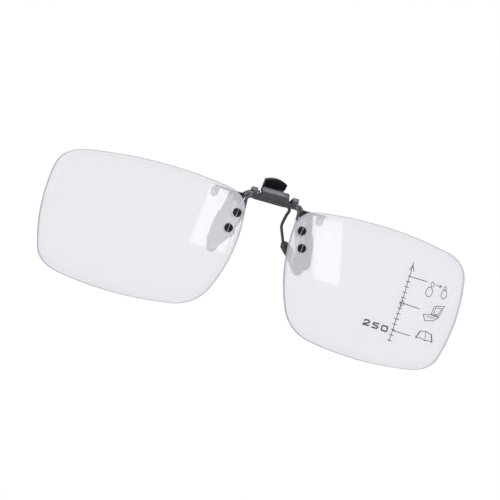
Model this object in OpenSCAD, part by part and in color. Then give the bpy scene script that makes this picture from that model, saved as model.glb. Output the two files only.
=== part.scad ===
// Clip-on flip-up reading lenses. The hinge pin runs along X, the lenses face -Y, and +Z is up.
// The origin is the middle of the clip's jaws. Each piece is drawn about the pin, then moved there.

/* [Lenses] */
// Distance between the top corners of one lens, before rounding
lens_top_w = 57; // [50:0.1:62]
// Distance between the bottom corners of one lens, before rounding
lens_bottom_w = 48.1; // [42:0.1:52]
// Height between the upper and lower corners
lens_side_h = 36.2; // [28:0.1:42]
// Distance from the bar's end to a lens's inner top corner
lens_gap = 1.2; // [0.8:0.1:1.6]
// How far the inner bottom corner stands outside the inner top corner
lens_nose_lean = 6.9; // [5:0.1:10]
// Height of the lenses' top corners below the hinge pin
lens_drop = 1.55; // [1.3:0.05:2.5]
// Fall of the top edge from the nose to the outer corner
lens_top_fall = 1; // [0:0.1:2]
// Bow of the top edge
lens_top_bow = 2.9; // [1.5:0.1:4]
// Bow of the outer edge
lens_outer_bow = 3; // [2:0.1:4]
// Bow of the bottom edge
lens_bottom_bow = 2.7; // [2:0.1:4.5]
// Bow of the edge beside the nose
lens_nose_bow = 3.6; // [2.5:0.1:4.5]
// Radius of the lenses' front face
lens_curve_r = 254; // [180:1:300]
// Thickness of a lens
lens_t = 1.5; // [1.2:0.05:2]
// Height of the front face's foremost point below the pin
lens_pole_drop = 8; // [6:0.1:10]

/* [Lens fixing] */
// Distance from a lens's inner top corner to its upper screw
screw_inset = 1.75; // [1.5:0.05:2.2]
// Height of the upper screws below the pin
screw_drop = 7.5; // [7:0.05:8]
// Distance between the two screws of a lens
screw_pitch = 5.3; // [4.8:0.05:6]
// Lean of the screw line and of the mount plate, in degrees
plate_lean = 15; // [12:0.5:18]
// Radius of a screw's shank
shank_r = 0.7; // [0.5:0.05:0.8]
// Radius of a screw's head
screw_head_r = 1.38; // [1.2:0.02:1.5]
// Thickness of a screw's head
screw_head_t = 0.5; // [0.4:0.05:0.7]
// Width of a screw's slot
slot_w = 0.36; // [0.2:0.02:0.5]
// Depth of a screw's slot
slot_depth = 0.25; // [0.15:0.05:0.35]
// Wall of the sleeve between a screw and its lens
bush_wall = 0.3; // [0.2:0.02:0.4]
// Radius of the clear washers
washer_r = 1.55; // [1.5:0.05:1.7]
// Thickness of the clear washers
washer_t = 0.2; // [0.15:0.05:0.3]
// Width of a mount plate
plate_w = 3.2; // [3:0.1:3.6]
// Thickness of a mount plate
plate_t = 0.5; // [0.4:0.05:0.6]
// Length of a mount plate above its upper screw
plate_above = 3.6; // [3.5:0.1:4]
// Distance from the lower screw to the centre of the plate's round end
plate_below = 0.9; // [0.5:0.1:1.2]

/* [Flip bar] */
// Distance from the pin's axis to the bar's front face
bar_front = 2.4; // [2.3:0.05:2.6]
// Thickness of the bar's sheet
bar_t = 0.8; // [0.6:0.05:0.9]
// Width of the bar
bar_w = 15.2; // [15:0.1:16]
// Depth of the bar's lower edge below the pin's axis
bar_drop = 1.8; // [1.75:0.05:2.1]
// Width of the notch between the middle tab and an end ear
notch_w = 1.3; // [1.1:0.05:1.5]
// Height above the pin's axis where the middle tab bends back
lip_bend = 1; // [0.8:0.05:1.2]
// Height of the tab's lip above the pin's axis
lip_top = 2.4; // [2.2:0.05:2.45]
// Lean of the tab's lip, in degrees
lip_lean = 34; // [33:0.5:38]
// Radius of the lip's corners
lip_corner = 0.5; // [0.2:0.05:0.8]
// Height of the bar's end ears above the pin's axis
ear_rise = 1.6; // [1.2:0.05:1.6]
// Height above the pin's axis where the end ears bend back
ear_bend = 0.45; // [0.3:0.05:0.7]
// Lean of the end ears' tops, in degrees
ear_lean = 30; // [20:1:34]
// Width of an end ear
ear_w = 1.9; // [1.7:0.1:2]
// Depth of the notches' floor below the pin's axis
notch_drop = 0.3; // [0:0.05:0.6]
// Thickness of the bar's bearing cheeks
cheek_t = 0.5; // [0.4:0.05:0.55]
// Radius of the eyes at the ends of the cheeks
cheek_eye_r = 1.1; // [1:0.05:1.2]
// Radius of a lens arm's two rods where they leave the bar
lens_arm_r = 0.55; // [0.5:0.01:0.58]
// Radius of a lens arm's two rods where they meet its mount plate
lens_arm_tip_r = 0.3; // [0.25:0.01:0.32]

/* [Hinge] */
// Radius of the hinge pin
pin_r = 0.6; // [0.5:0.02:0.65]
// Radial clearance of a piece that turns on the pin
run_gap = 0.05; // [0.03:0.01:0.08]
// Radial clearance of a piece that is fixed on a shank or a pin
fit_gap = 0.02; // [0.01:0.01:0.04]
// Thickness of a friction washer on the pin
friction_washer_t = 0.3; // [0.2:0.05:0.35]

/* [Clip saddle] */
// Thickness of the saddle's sheet
saddle_t = 0.4; // [0.3:0.05:0.45]
// Height of the saddle's floor below the pin's axis
saddle_floor = 1.65; // [1.6:0.01:1.7]
// Distance that the saddle's floor reaches in front of the pin's axis
saddle_front = 1.2; // [1:0.05:1.25]
// Distance that the saddle's floor reaches behind the pin's axis
saddle_back = 1; // [0.8:0.05:1.1]
// Thickness of the saddle's upright ears
saddle_ear_t = 0.55; // [0.45:0.05:0.6]
// Radius of the eyes on the saddle's ears
saddle_eye_r = 1.2; // [1.1:0.05:1.2]
// Radius of the arms that carry the front paddles
base_arm_r = 0.5; // [0.4:0.02:0.55]

/* [Front paddles] */
// Thickness of a front paddle
paddle_t = 0.5; // [0.4:0.05:0.55]
// Distance from the pin's axis back to the paddles' front faces, forward being negative
paddle_y = -0.2; // [-0.25:0.01:-0.1]
// Wall of the soft sleeves over the paddles
sleeve_wall = 0.35; // [0.25:0.01:0.38]
// Radius of a paddle's round lower end
paddle_end_r = 1.6; // [1.4:0.05:1.8]
// Depth of the sleeves' upper ends below the pin's axis
sleeve_top = 7.9; // [7.5:0.1:8.5]
// Radius of the locking hole in a paddle
lock_hole_r = 0.3; // [0.2:0.05:0.4]

/* [Hooks] */
// Radius of a hook's wire
hook_r = 0.35; // [0.3:0.01:0.4]
// Width of a hook's soft tip
hook_tip_w = 2.2; // [2:0.1:2.4]
// Thickness of a hook's soft tip
hook_tip_t = 1.3; // [1.2:0.05:1.6]
// Length of a hook's soft tip
hook_tip_l = 2.7; // [2.4:0.1:3.2]

/* [Lever] */
// Thickness of the lever's sheet
lever_t = 0.4; // [0.3:0.05:0.45]
// Distance from the pin's axis back to the lever plate's front face
lever_y = 3; // [2.95:0.01:3.1]
// Width of the lever plate above the pin
lever_neck_w = 6.3; // [5:0.1:6.4]
// Height of the lever plate's top above the pin's axis
lever_top = 4.6; // [4.2:0.1:4.8]
// Lean of the lever's neck and of the cap's back, in degrees
neck_lean = 22; // [18:0.5:24]
// Width of the thumb cap
cap_w = 6.9; // [6.8:0.1:7.4]
// Height of the cap's underside above the pin's axis
cap_under = 3.1; // [3.05:0.05:3.3]
// Lean of the cap's overhanging front, in degrees
cap_front_lean = 38; // [30:1:42]
// Height of the top of the cap above the pin's axis
cap_top = 6.05; // [5.9:0.05:6.4]
// Fall of the cap's top towards its front, in degrees
cap_top_fall = 11; // [8:0.5:15]
// Radius of the cap's arched top
cap_arch_r = 6.6; // [6:0.1:10]
// Radius of a rear wire where it leaves the lever
rear_wire_r = 0.48; // [0.4:0.01:0.52]
// Radius of a rear wire where it meets its pad
rear_wire_tip_r = 0.42; // [0.3:0.01:0.48]

/* [Rear pads] */
// Thickness of a rear pad's plate
pad_t = 0.5; // [0.4:0.05:0.6]
// Lean of the rear pads towards the front paddles, in degrees
pad_lean = 18; // [16:0.5:19]
// Radius of a rear pad's round tip
pad_end_r = 1.35; // [1.2:0.05:1.4]
// Wall of the soft sleeves over the rear pads
pad_sleeve_wall = 0.35; // [0.25:0.01:0.4]

/* [Spring] */
// Radius of the spring's wire
spring_wire_r = 0.2; // [0.15:0.01:0.22]
// Radius of the spring's coil at the middle of its wire
spring_coil_r = 1; // [0.95:0.01:1.02]
// Number of turns in the spring
spring_turns = 7; // [5:1:8]
// Length of the coil along the pin
spring_l = 7; // [6.8:0.1:7.4]

/* [Hidden] */

// Place of the hinge pin, seen from the middle of the clip's jaws
pin_z = 15;
pin_y = -1;
// A cut or bore runs this far past the faces that it opens
over = 0.5;
// Degrees between the points of an outline's round end
round_step = 10;
// Larger than any piece, for the cutting blocks
far = 40;
gunmetal = [0.25, 0.25, 0.27];
bright_steel = [0.75, 0.75, 0.77];
black_plastic = [0.08, 0.08, 0.09];
clear_silicone = [0.85, 0.84, 0.86, 0.6];
clear_lens = [0.93, 0.93, 0.96, 0.4];

// Lens, from the pin's axis
lens_front_y = -bar_front - 0.7;
lens_back_y = lens_front_y + lens_t;
lens_pole_x = 11;
lens_inset = bar_w / 2 + lens_gap;
screw_x = lens_inset + screw_inset;
// Straight lengths that the round corners take off each side, at its start and its end
lens_cuts = [[5.8, 6.6], [5.2, 4.5], [6.5, 6.6], [6.2, 5.1]];
lens_bows = [lens_top_bow, lens_outer_bow, lens_bottom_bow, lens_nose_bow];
lens_corners = [
    [lens_inset, -lens_drop],
    [lens_inset + lens_top_w, -lens_drop - lens_top_fall],
    [lens_inset + lens_nose_lean + lens_bottom_w, -lens_drop - lens_side_h],
    [lens_inset + lens_nose_lean, -lens_drop - lens_side_h]
];
side_steps = 9;
corner_steps = 7;

// Stack at a screw, front to back
// The lens's hollow back face rises by up to this much under a rear washer
washer_sag = 0.15;
washer_back = lens_front_y;
rear_washer_front = lens_back_y + washer_sag;
plate_front = rear_washer_front + washer_t;
plate_back = plate_front + plate_t;
bush_r = shank_r + fit_gap + bush_wall;

// Bar and hinge stations along X
tab_w = bar_w - 2 * ear_w - 2 * notch_w;
bar_back = bar_front - bar_t;
// A cheek stands this far inside its ear's inner end
cheek_inset = 0.05;
// Clearances beside the turning pieces, along the pin
stack_gap = 0.05;
side_gap = 0.2;
cheek_x = bar_w / 2 - ear_w + cheek_inset;
washer_x = cheek_x + cheek_t + stack_gap;
saddle_ear_x = washer_x + friction_washer_t + stack_gap;
saddle_half = saddle_ear_x + saddle_ear_t;
lever_ear_x = tab_w / 2 + side_gap;
lever_half = lever_ear_x + lever_t;
lever_eye_r = 1.05;
// The lever's ears keep their height until this far behind the saddle's floor
lever_knee = 0.6;
lever_foot_top = -0.52;
lever_foot_bottom = -1.7;
// The lever's neck leans forward above this height
neck_bend = 1.4;

// Paddle outline: top corners, the waist where the sleeve starts, and the round end's centre
paddle_top_z = -1.6;
paddle_in_top = [9.7, -2.9];
paddle_out_top = [13.6, paddle_top_z];
paddle_out_mid = [14.85, -sleeve_top];
paddle_out_low = [15.7, -11.2];
paddle_end = [14.75, -16.75];
lock_hole = [14.9, -15.7];
sleeve_grow = 0.45;

// Hooks: how far out and back their tips hang, and how low their wires run
hook_x = 17.2;
hook_y = -0.6;
hook_z = -1.25;
hook_back = 3.7;
hook_tip_z = -1.3;
hook_tip_end = 0.8;
// A tip starts this far below the wire's bend
hook_tip_inset = 0.2;
hook_tip_gap = 0.05;

// Rear pad outline, in the leaning plane of the pad
pad_root = [8.2, -12.2];
pad_end = [5.9, -7];
pad_outer = [[0.3, 1], [1.3, 0.9], [4.1, -1.4]];
pad_inner = [[3, -4.8], [0.9, -3.1], [-0.7, -1.2], [-0.6, 0.3]];
pad_root_y = 4.7;
pad_sleeve_l = 4.6;
rear_wire_z = -1.1;
// The rear wire's way down from the lever's corner to its pad
rear_wire_way = [
    [6.3, 3.4, rear_wire_z - 0.1], [7, 3.4, -2.1], [6.75, 4.4, -3.7],
    [6.55, 5, -5.2], [6.4, 5.3, -7.2], [7.3, 5.1, -9.8]
];

// Thumb cap: its skirt behind the neck, its overhanging front and its raised front panel
cap_skirt_z = 1.25;
cap_back_wall = 0.25;
cap_front_y = 1.15;
cap_panel_w = 5.7;
cap_panel_t = 0.25;
spring_rings = 8;
spring_leg_z = lever_foot_top + spring_wire_r + fit_gap;

function unit(v) = v / norm(v);

// A point on the smooth curve through four neighbouring points
function smooth_point(a, b, c, d, t) =
    0.5 * (2 * b + (c - a) * t + (2 * a - 5 * b + 4 * c - d) * pow(t, 2)
        + (3 * b - a - 3 * c + d) * pow(t, 3));

function smooth_path(p, n) = let (last = len(p) - 1) concat(
    [for (i = [0 : last - 1], k = [0 : n - 1])
        smooth_point(p[max(i - 1, 0)], p[i], p[i + 1], p[min(i + 2, last)], k / n)],
    [p[last]]);

function tangent(p, i) = unit(p[min(i + 1, len(p) - 1)] - p[max(i - 1, 0)]);

function square_to(n, t) = unit(n - (n * t) * t);

// Normals carried along a path without twist
function normals(p, first) = [
    for (i = 0, n = square_to(first, tangent(p, 0)); i < len(p);
        i = i + 1, n = i < len(p) ? square_to(n, tangent(p, i)) : n) n
];

// A closed round tube along a path, with a radius at each point
module tube(p, radii, sides, first) {
    ns = normals(p, first);
    rings = [for (i = [0 : len(p) - 1], j = [0 : sides - 1])
        let (a = 360 * j / sides)
        p[i] + radii[i] * (cos(a) * ns[i] + sin(a) * cross(tangent(p, i), ns[i]))];
    walls = [for (i = [0 : len(p) - 2], j = [0 : sides - 1])
        let (a = i * sides + j, b = i * sides + (j + 1) % sides)
        each [[a, b + sides, b], [a, a + sides, b + sides]]];
    start = [for (j = [1 : sides - 2]) [0, j, j + 1]];
    base = (len(p) - 1) * sides;
    end = [for (j = [1 : sides - 2]) [base, base + j + 1, base + j]];
    polyhedron(rings, concat(walls, start, end), convexity = 6);
}

module wire(points, r, tip_r, sides = 12, steps = 4) {
    p = smooth_path(points, steps);
    last = len(p) - 1;
    radii = [for (i = [0 : last]) r + (tip_r - r) * pow(i / last, 2)];
    tube(p, radii, sides, [0, 1, 0.01]);
}

// Moves a piece from the pin's place in the drawing to its place on the jaws' origin
module at_pin() {
    translate([0, pin_y, pin_z]) children();
}

// Draws a right-hand piece on the right for 1 and mirrored on the left for -1
module on_side(side) {
    mirror([side < 0 ? 1 : 0, 0, 0]) children();
}

// A disc or shaft along X from one station to another
module along_x(r, x0, x1, fn = 48) {
    translate([x0, 0, 0]) rotate([0, 90, 0]) cylinder(r = r, h = x1 - x0, $fn = fn);
}

// A cylinder along Y from one depth to another
module along_y(r, y0, y1, fn = 40) {
    translate([0, y1, 0]) rotate([90, 0, 0]) cylinder(r = r, h = y1 - y0, $fn = fn);
}

// A flat sheet in the XZ plane from one depth to another
module sheet_y(y0, y1) {
    translate([0, y1, 0]) rotate([90, 0, 0]) linear_extrude(y1 - y0) children();
}

// A flat sheet in the YZ plane from one station to another, its outline given as [y, z]
module sheet_x(x0, x1) {
    translate([x0, 0, 0]) rotate([90, 0, 90]) linear_extrude(x1 - x0) children();
}

// The points of a half circle, clockwise from the given angle
function half_round(centre, r, start) =
    [for (a = [0 : round_step : 180]) centre + r * [cos(start - a), sin(start - a)]];

function bezier(a, b, c, t) = pow(1 - t, 2) * a + 2 * t * (1 - t) * b + pow(t, 2) * c;

function side_middle(i) =
    let (a = lens_corners[i], b = lens_corners[(i + 1) % 4], d = unit(b - a))
    (a + b) / 2 + 2 * lens_bows[i] * [-d[1], d[0]];

function side_point(i, t) =
    bezier(lens_corners[i], side_middle(i), lens_corners[(i + 1) % 4], t);

function side_length(i) = norm(lens_corners[(i + 1) % 4] - lens_corners[i]);

function side_start(i) = lens_cuts[i][0] / side_length(i);

function side_end(i) = 1 - lens_cuts[i][1] / side_length(i);

// The lens's outline: four bowed sides with a curved corner after each
lens_outline = [for (i = [0 : 3]) let (n = (i + 1) % 4) each concat(
    [for (k = [0 : side_steps])
        side_point(i, side_start(i) + (side_end(i) - side_start(i)) * k / side_steps)],
    [for (k = [1 : corner_steps - 1])
        bezier(side_point(i, side_end(i)), lens_corners[n], side_point(n, side_start(n)),
            k / corner_steps)])];

// Puts its children at each screw of one side, the plate's lean included
module at_plate() {
    translate([screw_x, 0, -screw_drop]) rotate([0, -plate_lean, 0]) children();
}

module at_screws() {
    for (side = [-1, 1]) on_side(side) at_plate()
        for (k = [0, 1]) translate([0, 0, -k * screw_pitch]) children();
}

module lens(side) {
    color(clear_lens) at_pin() on_side(side) difference() {
        intersection() {
            translate([lens_pole_x, lens_front_y + lens_curve_r, -lens_pole_drop])
                difference() {
                    sphere(r = lens_curve_r, $fn = 200);
                    sphere(r = lens_curve_r - lens_t, $fn = 200);
                }
            sheet_y(lens_front_y - over, lens_front_y + far) polygon(lens_outline);
        }
        at_plate() for (k = [0, 1]) translate([0, 0, -k * screw_pitch])
            along_y(bush_r + fit_gap, lens_front_y - over, lens_back_y + over);
    }
}

module mount_plate(side) {
    color(gunmetal) at_pin() on_side(side) at_plate() difference() {
        union() {
            sheet_y(plate_front, plate_back)
                translate([-plate_w / 2, -screw_pitch - plate_below])
                square([plate_w, screw_pitch + plate_below + plate_above]);
            translate([0, 0, -screw_pitch - plate_below])
                along_y(plate_w / 2, plate_front, plate_back);
        }
        for (k = [0, 1]) translate([0, 0, -k * screw_pitch])
            along_y(shank_r + fit_gap, plate_front - over, plate_back + over);
    }
}

module ring_y(r, bore, y0, y1) {
    difference() {
        along_y(r, y0, y1);
        along_y(bore, y0 - over, y1 + over);
    }
}

module lens_bushes() {
    color(clear_silicone) at_pin() at_screws()
        ring_y(bush_r, shank_r + fit_gap, lens_front_y + 0.05, lens_back_y);
}

module front_washers() {
    color(clear_silicone) at_pin() at_screws()
        ring_y(washer_r, shank_r + fit_gap, washer_back - washer_t, washer_back);
}

module rear_washers() {
    color(clear_silicone) at_pin() at_screws()
        ring_y(washer_r, shank_r + fit_gap, rear_washer_front, plate_front);
}

module lens_screws() {
    head_back = washer_back - washer_t;
    head_front = head_back - screw_head_t;
    color(gunmetal) at_pin() at_screws() difference() {
        union() {
            along_y(shank_r, head_back - 0.1, plate_back);
            along_y(screw_head_r, head_front + 0.15, head_back);
            along_y(screw_head_r - 0.2, head_front, head_back);
        }
        translate([-slot_w / 2, head_front - over, -screw_head_r - over])
            cube([slot_w, over + slot_depth, 2 * (screw_head_r + over)]);
    }
}

// The bar's sheet from the side, as [y, z]: flat up to a bend, then leaning back up to its top
function bent_sheet(bend, top, lean) =
    let (tip = [(top - bend) * tan(lean) - bar_front, top])
    [
        [-bar_front, -bar_drop], [-bar_front, bend], tip,
        tip + bar_t * [cos(lean), -sin(lean)],
        [-bar_back, bend - bar_t * tan(lean / 2)], [-bar_back, -bar_drop]
    ];

// The tab from the front, with two round corners
lip_outline = concat(
    [for (a = [0 : round_step : 90])
        [tab_w / 2 - lip_corner, lip_top - lip_corner] + lip_corner * [cos(a), sin(a)]],
    [for (a = [90 : round_step : 180])
        [lip_corner - tab_w / 2, lip_top - lip_corner] + lip_corner * [cos(a), sin(a)]],
    [[-tab_w / 2, -bar_drop], [tab_w / 2, -bar_drop]]);

module flip_bar() {
    half = bar_w / 2;
    color(gunmetal) at_pin() difference() {
        union() {
            sheet_y(-bar_front, -bar_back)
                translate([-half, -bar_drop]) square([bar_w, bar_drop - notch_drop]);
            for (x = [-half, half - ear_w])
                sheet_x(x, x + ear_w) polygon(bent_sheet(ear_bend, ear_rise, ear_lean));
            intersection() {
                sheet_x(-tab_w / 2, tab_w / 2) polygon(bent_sheet(lip_bend, lip_top, lip_lean));
                sheet_y(-bar_front - over, over) polygon(lip_outline);
            }
            for (side = [-1, 1]) on_side(side) {
                along_x(cheek_eye_r, cheek_x, cheek_x + cheek_t);
                sheet_x(cheek_x, cheek_x + cheek_t)
                    translate([-bar_front + bar_t / 2, -cheek_eye_r])
                    square([bar_front - bar_t / 2, 2 * cheek_eye_r]);
            }
        }
        along_x(pin_r + run_gap, -half - over, half + over);
    }
}

// Each arm is two rods side by side, joined along the bend
module lens_arm(side) {
    root = [bar_w / 2, -(bar_front + bar_back) / 2];
    mid_y = (plate_front + plate_back) / 2;
    color(gunmetal) at_pin() on_side(side) {
        wire([
            [root[0] - over, root[1], -0.5],
            [root[0] + 0.1, root[1], -0.5],
            [root[0] + 0.8, root[1], -0.7],
            [root[0] + 1.4, root[1], -1.2],
            [root[0] + 1.75, root[1] + 0.35, -2],
            [root[0] + 1.95, mid_y - 0.1, -2.9],
            [root[0] + 2.05, mid_y, -3.8],
            [root[0] + 2.15, mid_y, -4.5]
        ], lens_arm_r, lens_arm_tip_r);
        wire([
            [root[0] - over, root[1], -1.35],
            [root[0] + 0.1, root[1], -1.35],
            [root[0] + 0.6, root[1], -1.7],
            [root[0] + 0.85, root[1], -2.4],
            [root[0] + 0.95, root[1] + 0.35, -3.3],
            [root[0] + 1.05, mid_y - 0.1, -4.2],
            [root[0] + 1.2, mid_y, -4.9]
        ], lens_arm_r, lens_arm_tip_r);
    }
}

module hinge_pin() {
    color(bright_steel) at_pin() along_x(pin_r, -saddle_half, saddle_half);
}

module friction_washers() {
    color(bright_steel) at_pin() for (side = [-1, 1]) on_side(side) difference() {
        along_x(cheek_eye_r, washer_x, washer_x + friction_washer_t);
        along_x(pin_r + fit_gap, washer_x - over, washer_x + friction_washer_t + over);
    }
}

module clip_saddle() {
    color(gunmetal) at_pin() difference() {
        union() {
            translate([-saddle_half, -saddle_front, -saddle_floor])
                cube([2 * saddle_half, saddle_front + saddle_back, saddle_t]);
            for (side = [-1, 1]) on_side(side) {
                sheet_x(saddle_ear_x, saddle_half)
                    translate([-saddle_front, -saddle_floor])
                    square([saddle_front + saddle_back, saddle_floor]);
                along_x(saddle_eye_r, saddle_ear_x, saddle_half);
            }
        }
        along_x(pin_r + fit_gap, -saddle_half - over, saddle_half + over);
    }
}

module base_arm(side) {
    mid_y = paddle_y + paddle_t / 2;
    color(gunmetal) at_pin() on_side(side) wire([
        [saddle_half - saddle_ear_t / 2, 0, 0],
        [saddle_half + 0.1, 0, 0],
        [saddle_half + 0.9, -0.2, -0.3],
        [saddle_half + 1.7, -0.35, -0.8],
        [saddle_half + 2.4, -0.35, -1.5],
        [saddle_half + 3, mid_y - 0.1, -2.5],
        [saddle_half + 3.5, mid_y, -3.4]
    ], base_arm_r, paddle_t / 2);
}

// The paddle's outline, widened on both sides by the given amount
module paddle_outline(grow) {
    out = [grow, 0];
    polygon(concat([
        paddle_in_top - out, [paddle_in_top[0] + 0.5, paddle_top_z] - out,
        paddle_out_top + out, paddle_out_mid + out, paddle_out_low + out
    ], half_round(paddle_end, paddle_end_r + grow, 0)));
}

module front_paddle(side) {
    color(gunmetal) at_pin() on_side(side) difference() {
        sheet_y(paddle_y, paddle_y + paddle_t) paddle_outline(0);
        translate([lock_hole[0], 0, lock_hole[1]])
            along_y(lock_hole_r, paddle_y - over, paddle_y + paddle_t + over);
    }
}

module paddle_sleeve(side) {
    color(clear_silicone) at_pin() on_side(side) difference() {
        sheet_y(paddle_y - sleeve_wall, paddle_y + paddle_t + sleeve_wall) difference() {
            paddle_outline(sleeve_grow);
            translate([0, -sleeve_top]) square([far, far]);
        }
        sheet_y(paddle_y - fit_gap, paddle_y + paddle_t + fit_gap) paddle_outline(fit_gap);
    }
}

module hook_wire(side) {
    color(gunmetal) at_pin() on_side(side) wire([
        [saddle_half + 2.4, -0.35, -1.6],
        [saddle_half + 3, hook_y, -1.4],
        [saddle_half + 3.7, hook_y, hook_z - 0.2],
        [saddle_half + 4.8, hook_y, hook_z - 0.2],
        [hook_x - 2.7, hook_y, hook_z - 0.1],
        [hook_x - 0.3, hook_y, hook_z],
        [hook_x + 0.6, hook_y + 0.9, hook_z + 0.05],
        [hook_x + 0.4, hook_back - 1.6, hook_z + 0.15],
        [hook_x + 0.1, hook_back - 0.5, hook_z + 0.3],
        [hook_x, hook_back, hook_tip_z],
        [hook_x, hook_back, hook_tip_z - hook_tip_l / 2],
        [hook_x, hook_back, hook_tip_z - hook_tip_l + hook_tip_end]
    ], hook_r, hook_r);
}

module hook_tip(side) {
    half = hook_tip_w / 2;
    color(clear_silicone) at_pin() on_side(side)
        translate([hook_x, hook_back, hook_tip_z - hook_tip_inset]) difference() {
            sheet_y(-hook_tip_t / 2, hook_tip_t / 2) {
                translate([-half, -hook_tip_l + half]) square([hook_tip_w, hook_tip_l - half]);
                translate([0, -hook_tip_l + half]) circle(r = half, $fn = 48);
            }
            translate([0, 0, hook_tip_inset - hook_tip_l + hook_tip_end - hook_tip_gap])
                cylinder(r = hook_r + hook_tip_gap, h = hook_tip_l + over, $fn = 32);
        }
}

// The lever's neck from the side, as [y, z], widened by the given amount
function neck_profile(grow) = let (
        front = lever_y - grow, back = lever_y + lever_t + grow,
        run = (lever_top + grow - neck_bend) * tan(neck_lean))
    [
        [front, lever_foot_bottom], [front, neck_bend], [front - run, lever_top + grow],
        [back - run, lever_top + grow], [back, neck_bend], [back, lever_foot_bottom]
    ];

module lever_plate() {
    foot_h = lever_foot_top - lever_foot_bottom;
    color(gunmetal) at_pin() difference() {
        union() {
            sheet_y(lever_y, lever_y + lever_t)
                translate([-lever_half, lever_foot_bottom]) square([2 * lever_half, foot_h]);
            sheet_x(-lever_neck_w / 2, lever_neck_w / 2) polygon(neck_profile(0));
            for (side = [-1, 1]) on_side(side) {
                along_x(lever_eye_r, lever_ear_x, lever_half);
                sheet_x(lever_ear_x, lever_half) polygon([
                    [0, lever_eye_r], [lever_y + lever_t, lever_foot_top],
                    [lever_y + lever_t, lever_foot_bottom], [lever_y, lever_foot_bottom],
                    [saddle_back + lever_knee, 0.1 - lever_eye_r], [0, -lever_eye_r]
                ]);
            }
        }
        along_x(pin_r + run_gap, -lever_half - over, lever_half + over);
    }
}

// The cap from the side, as [y, z], with its front face moved back by the given amount
function cap_profile(inset) = let (
        back = lever_y + lever_t + cap_back_wall, top = cap_top + over,
        front = cap_front_y + inset)
    [
        [lever_y, cap_skirt_z], [lever_y, neck_bend],
        [lever_y - (cap_under - neck_bend) * tan(neck_lean), cap_under], [front, cap_under],
        [front - (top - cap_under) * tan(cap_front_lean), top],
        [back - (top - cap_skirt_z) * tan(neck_lean), top], [back, cap_skirt_z]
    ];

module lever_cap() {
    half = lever_neck_w / 2 + fit_gap;
    color(black_plastic) at_pin() difference() {
        intersection() {
            union() {
                sheet_x(-cap_w / 2, cap_w / 2) polygon(cap_profile(cap_panel_t));
                sheet_x(-cap_panel_w / 2, cap_panel_w / 2) polygon(cap_profile(0));
            }
            translate([0, cap_front_y, cap_top]) rotate([cap_top_fall, 0, 0])
                translate([0, 0, -cap_arch_r]) along_y(cap_arch_r, -far / 2, far / 2, 128);
        }
        sheet_x(-half, half) polygon(neck_profile(fit_gap));
    }
}

module rear_wire(side) {
    back = lever_y + lever_t + rear_wire_r * 0.9;
    color(gunmetal) at_pin() on_side(side) wire(concat(
        [[lever_half - 2.2, back, rear_wire_z], [lever_half - 0.2, back, rear_wire_z]],
        rear_wire_way,
        [[pad_root[0], pad_root_y + pad_t / 2, pad_root[1]]]
    ), rear_wire_r, rear_wire_tip_r);
}

// Puts a pad's outline into the leaning plane through its root
module at_pad() {
    translate([pad_root[0], pad_root_y, pad_root[1]]) rotate([-pad_lean, 0, 0]) children();
}

// The pad's outline, from its root, widened on both sides by the given amount
module pad_outline(grow) {
    side = unit([-pad_end[1], pad_end[0]]);
    across = side * grow;
    polygon(concat(
        [for (p = pad_outer) p + across],
        half_round(pad_end, pad_end_r + grow, atan2(side[1], side[0])),
        [for (p = pad_inner) p - across]));
}

module rear_pad(side) {
    color(gunmetal) at_pin() on_side(side) at_pad()
        sheet_y(0, pad_t) pad_outline(0);
}

module rear_sleeve(side) {
    color(clear_silicone) at_pin() on_side(side) at_pad() difference() {
        sheet_y(-pad_sleeve_wall, pad_t + pad_sleeve_wall) intersection() {
            pad_outline(pad_sleeve_wall);
            translate(pad_end) rotate(atan2(pad_end[1], pad_end[0]))
                translate([-pad_sleeve_l, -far / 2]) square([far, far]);
        }
        sheet_y(-fit_gap, pad_t + fit_gap) pad_outline(fit_gap);
    }
}

// The spring's path: a leg on the saddle's floor, the coil, and a leg that rests on the lever's foot
spring_path = concat(
    [[-spring_l / 2, spring_wire_r - saddle_front, -spring_coil_r]],
    [for (k = [0 : spring_turns * spring_rings]) let (a = 360 * k / spring_rings)
        [-spring_l / 2 + spring_l * k / (spring_turns * spring_rings),
            spring_coil_r * sin(a), -spring_coil_r * cos(a)]],
    [[spring_l / 2, lever_y / 2, (spring_leg_z - spring_coil_r) / 2],
        [spring_l / 2, lever_y, spring_leg_z],
        [spring_l / 2, lever_y + lever_t, spring_leg_z]]
);

// Least gap between points of the spring that are half a turn or more apart
spring_gap = min([for (i = [0 : len(spring_path) - 1], j = [i + 5 : 1 : len(spring_path) - 1])
    norm(spring_path[i] - spring_path[j])]) - 2 * spring_wire_r;
echo(spring_gap = spring_gap);

module clip_spring() {
    color(bright_steel) at_pin()
        tube(spring_path, [for (p = spring_path) spring_wire_r], 6, [1, 0, 0]);
}

hinge_pin();
clip_saddle();
friction_washers();
base_arm(-1);  // base_arm_left
base_arm(1);  // base_arm_right
front_paddle(-1);  // front_paddle_left
front_paddle(1);  // front_paddle_right
paddle_sleeve(-1);  // paddle_sleeve_left
paddle_sleeve(1);  // paddle_sleeve_right
hook_wire(-1);  // hook_wire_left
hook_wire(1);  // hook_wire_right
hook_tip(-1);  // hook_tip_left
hook_tip(1);  // hook_tip_right
flip_bar();
lens_arm(-1);  // lens_arm_left
lens_arm(1);  // lens_arm_right
mount_plate(-1);  // mount_plate_left
mount_plate(1);  // mount_plate_right
lens(-1);  // lens_left
lens(1);  // lens_right
lens_bushes();
front_washers();
rear_washers();
lens_screws();
lever_plate();
lever_cap();
rear_wire(-1);  // rear_wire_left
rear_wire(1);  // rear_wire_right
rear_pad(-1);  // rear_pad_left
rear_pad(1);  // rear_pad_right
rear_sleeve(-1);  // rear_sleeve_left
rear_sleeve(1);  // rear_sleeve_right
clip_spring();
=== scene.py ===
import math

import bmesh
import bpy
from mathutils import Matrix, Vector


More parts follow.
